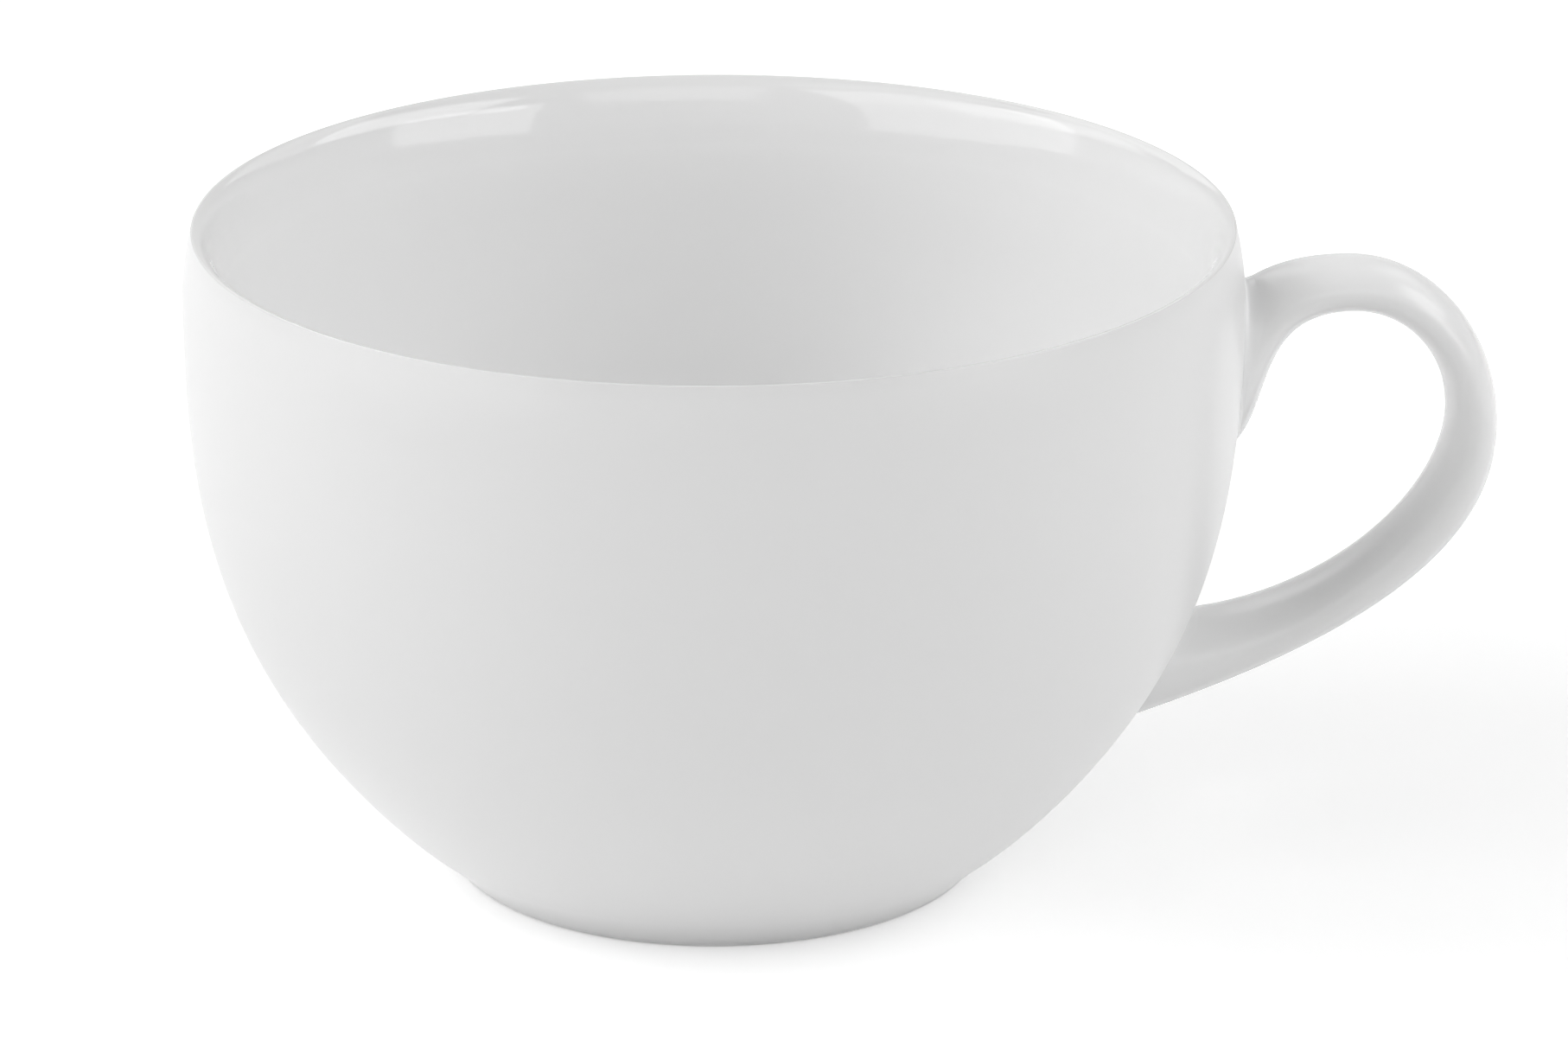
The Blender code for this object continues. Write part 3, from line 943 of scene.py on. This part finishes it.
@dataclass(frozen=True)
class Softbox:
    """Flat rectangular light that faces the cup. Angles are in degrees, as seen from the cup."""

    name: str
    to_right: float
    elevation: float
    width: float
    height: float
    radiance: float
    distance: float = 1.20

    def build(self, aim: Vector) -> bpy.types.Object:
        """Hang the light: its power is radiance times pi times its area.

        Args:
            aim: Point that the light faces.

        Returns:
            The light.
        """
        turn = math.radians(self.to_right)
        rise = math.radians(self.elevation)
        side = Vector((math.sin(turn) * math.cos(rise), -math.cos(turn) * math.cos(rise), math.sin(rise)))
        lamp = bpy.data.lights.new(self.name, "AREA")
        lamp.shape = "RECTANGLE"
        lamp.size = self.width
        lamp.size_y = self.height
        lamp.energy = self.radiance * math.pi * self.width * self.height
        item = bpy.data.objects.new(self.name, lamp)
        item.location = aim + self.distance * side
        item.rotation_euler = (-side).to_track_quat("-Z", "Y").to_euler()
        bpy.context.scene.collection.objects.link(item)
        LOG.info("%s: radiance %.2f", self.name, self.radiance)
        return item


SOFTBOXES = (
    Softbox("left_bank", to_right=-68.0, elevation=28.0, width=1.35, height=1.15, radiance=1.42),
    Softbox("left_bank_high", to_right=-68.0, elevation=41.0, width=1.35, height=0.55, radiance=0.85),
    Softbox("left_wide_bank", to_right=-97.0, elevation=37.0, width=1.22, height=0.50, radiance=1.10),
    Softbox("left_side_bank", to_right=-122.0, elevation=42.0, width=0.95, height=0.50, radiance=1.05),
    Softbox("left_high_bank", to_right=-90.0, elevation=66.0, width=1.20, height=0.45, radiance=0.80),
    Softbox("left_back_bank", to_right=-160.0, elevation=38.0, width=0.60, height=0.60, radiance=1.10),
    Softbox("front_panel", to_right=8.0, elevation=37.0, width=0.80, height=0.60, radiance=1.05),
    Softbox("right_bank", to_right=85.0, elevation=40.0, width=1.00, height=0.55, radiance=2.90),
    Softbox("right_back_bank", to_right=132.0, elevation=37.0, width=0.80, height=0.60, radiance=0.95),
    Softbox("right_window", to_right=60.0, elevation=18.0, width=0.80, height=0.56, radiance=1.95),
    Softbox("right_window_strip", to_right=51.0, elevation=26.0, width=0.24, height=0.12, radiance=2.40),
)


@dataclass(frozen=True)
class Studio:
    """Pale floor, soft light and the camera at the photograph's angle."""

    axis_x: float
    aim_height: float = 0.033
    floor_size: float = 6.0
    floor_colour: Colour = (0.96, 0.96, 0.96, 1.0)
    floor_lift: float = 0.30
    sky_colour: Colour = (1.0, 1.0, 1.0, 1.0)
    camera_distance: float = 0.700
    camera_elevation: float = 19.8
    camera_turn: float = 3.0
    aim_right: float = 0.00680
    aim_up: float = 0.00076
    lens: float = 163.3
    sensor: float = 36.0
    bounces: int = 24

    def aim(self) -> Vector:
        """Point on the cup's axis that the camera and the lights are set by."""
        return Vector((self.axis_x, 0.0, self.aim_height))

    def build_floor(self) -> None:
        """Lay a floor that keeps shadows, with light of its own only for what looks at it."""
        half = self.floor_size / 2
        mesh = bpy.data.meshes.new("floor")
        corners = [(-half, -half, 0.0), (half, -half, 0.0), (half, half, 0.0), (-half, half, 0.0)]
        mesh.from_pydata(corners, [], [(0, 1, 2, 3)])
        material = bpy.data.materials.new("pale_floor")
        material.use_nodes = True
        material.node_tree.nodes.clear()
        graph = Graph(material.node_tree)
        seen = self.seen_rays(graph)
        lift = graph.number("MULTIPLY", seen, self.floor_lift)
        matt = graph.add("ShaderNodeBsdfDiffuse", {"Color": self.floor_colour})
        glow = graph.add("ShaderNodeEmission", {"Color": self.sky_colour, "Strength": lift})
        both = graph.add("ShaderNodeAddShader", {0: matt.outputs[0], 1: glow.outputs[0]})
        graph.add("ShaderNodeOutputMaterial", {"Surface": both.outputs[0]})
        mesh.materials.append(material)
        floor = bpy.data.objects.new("floor", mesh)
        bpy.context.scene.collection.objects.link(floor)

    def seen_rays(self, graph: Graph) -> bpy.types.NodeSocket:
        """One for rays from the camera, in a reflection or through glass, and none for other rays."""
        path = graph.add("ShaderNodeLightPath", {})
        shown = graph.number("MAXIMUM", path.outputs["Is Glossy Ray"], path.outputs["Is Transmission Ray"])
        return graph.number("MAXIMUM", path.outputs["Is Camera Ray"], shown)

    def build_sky(self) -> None:
        """Put a white background behind the cup, which only looks white and lights nothing."""
        world = bpy.data.worlds.new("studio")
        world.use_nodes = True
        graph = Graph(world.node_tree)
        background = world.node_tree.nodes["Background"]
        background.inputs["Color"].default_value = self.sky_colour
        graph.tree.links.new(self.seen_rays(graph), background.inputs["Strength"])
        bpy.context.scene.world = world

    def build_camera(self) -> None:
        """Stand the camera off along its line of sight, with its sides square to that line."""
        rise = math.radians(self.camera_elevation)
        turn = math.radians(self.camera_turn)
        right = Vector((math.cos(turn), -math.sin(turn), 0.0))
        level = Vector((math.sin(turn), math.cos(turn), 0.0))
        forward = math.cos(rise) * level - math.sin(rise) * Vector((0.0, 0.0, 1.0))
        up = right.cross(forward)
        target = self.aim() + self.aim_right * right + self.aim_up * up
        data = bpy.data.cameras.new("camera")
        data.lens = self.lens
        data.sensor_width = self.sensor
        camera = bpy.data.objects.new("camera", data)
        turned = Matrix((right, up, -forward)).transposed().to_4x4()
        camera.matrix_world = Matrix.Translation(target - self.camera_distance * forward) @ turned
        bpy.context.scene.collection.objects.link(camera)
        bpy.context.scene.camera = camera

    def build(self) -> None:
        """Set the whole studio up."""
        self.build_floor()
        self.build_sky()
        self.build_camera()
        for softbox in SOFTBOXES:
            softbox.build(self.aim())
        scene = bpy.context.scene
        scene.view_settings.view_transform = "Standard"
        # A glancing reflection runs round the inside of the lip many times before it leaves the bowl
        scene.cycles.max_bounces = self.bounces
        scene.cycles.glossy_bounces = self.bounces


def main() -> None:
    """Build the cup piece by piece, then the studio round it."""
    logging.basicConfig(level=logging.INFO, format="%(name)s: %(message)s")
    effects = Effects()
    glaze = GLAZE.material(effects)
    bare = BARE.material(effects)
    bowl = Bowl.from_frame()
    dress(bowl.build(), glaze, Slot.GLAZE, "bowl")
    dress(bowl.build_standing_ring(), bare, Slot.BARE)
    handle = Handle(bowl)
    dress(handle.build(), glaze, Slot.GLAZE, "handle")
    upper = JointFillet(handle, RootEnd.UPPER, up_strap=0.0032, over_wall=0.0028)
    dress(upper.build(), glaze, Slot.GLAZE, RootEnd.UPPER.value)
    lower = JointFillet(handle, RootEnd.LOWER, up_strap=0.0026, over_wall=0.0022)
    dress(lower.build(), glaze, Slot.GLAZE, RootEnd.LOWER.value)
    Studio(bowl.axis_x).build()


if __name__ == "__main__":
    main()
